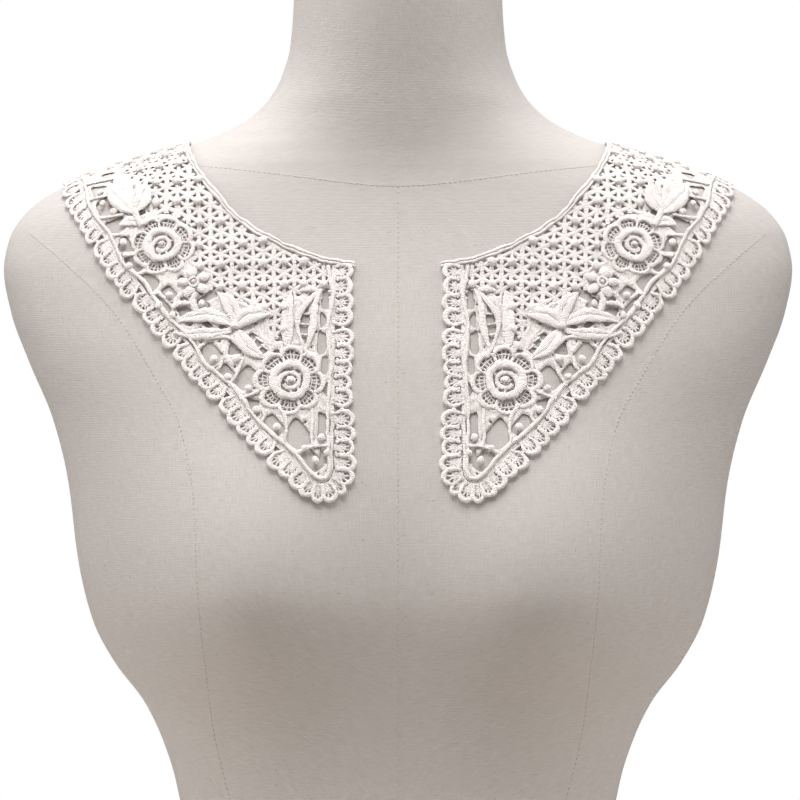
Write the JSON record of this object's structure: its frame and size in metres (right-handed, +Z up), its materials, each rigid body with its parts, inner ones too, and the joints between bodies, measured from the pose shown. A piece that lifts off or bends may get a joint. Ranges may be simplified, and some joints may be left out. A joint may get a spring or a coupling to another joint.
{
  "type": "lace collar on a dress form",
  "caption": "Wide guipure lace collar with scalloped edging and raised rosettes, open at the front, lying over the shoulders of a limbless linen-covered dress form.",
  "frame": {"origin": "centre of the bounding box at its base, on the underside of the dress form", "axes": "+Z up, the form faces -Y with the collar's opening, +X towards the wearer's left shoulder"},
  "size_m": [0.4038, 0.222, 0.585],
  "materials": {
    "linen": "undyed plain-weave linen stretched over the form, matt",
    "cotton_lace": "natural cream cotton guipure embroidery, matt with a slight satin-stitch sheen"
  },
  "bodies": {
    "root": {"dress_form": "linen", "neck_band": "cotton_lace", "panel_right_front": "cotton_lace", "panel_left_front": "cotton_lace", "panel_back": "cotton_lace", "edging_right_front": "cotton_lace", "edging_left_front": "cotton_lace", "edging_back": "cotton_lace", "rosette_lower_right": "cotton_lace", "rosette_upper_right": "cotton_lace", "rosette_lower_left": "cotton_lace", "rosette_upper_left": "cotton_lace"}
  },
  "joints": []
}
